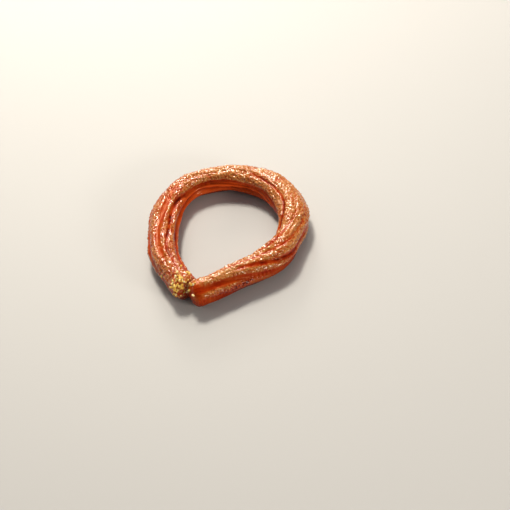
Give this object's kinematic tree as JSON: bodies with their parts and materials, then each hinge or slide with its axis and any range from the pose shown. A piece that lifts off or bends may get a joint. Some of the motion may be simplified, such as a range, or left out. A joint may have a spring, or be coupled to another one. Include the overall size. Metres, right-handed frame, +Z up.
{
  "type": "ring churro",
  "caption": "Teardrop ring of star-piped fried dough, glazed with syrup, its blunt ends pressed together and dusted with ground pistachio.",
  "frame": {"origin": "centre of the ring's box, on the surface it lies on", "axes": "+Z up, +X from the joined ends along the ring's length to its round far side"},
  "size_m": [0.1028, 0.0903, 0.0165],
  "materials": {
    "crust": "reddish-brown fried dough under a thin sticky syrup glaze, blistered and lighter on top, smooth and dark orange-red in the grooves",
    "crumbs": "dry ground pistachio, yellow-green crumbs"
  },
  "bodies": {
    "root": {"churro": "crust"}
  },
  "joints": []
}
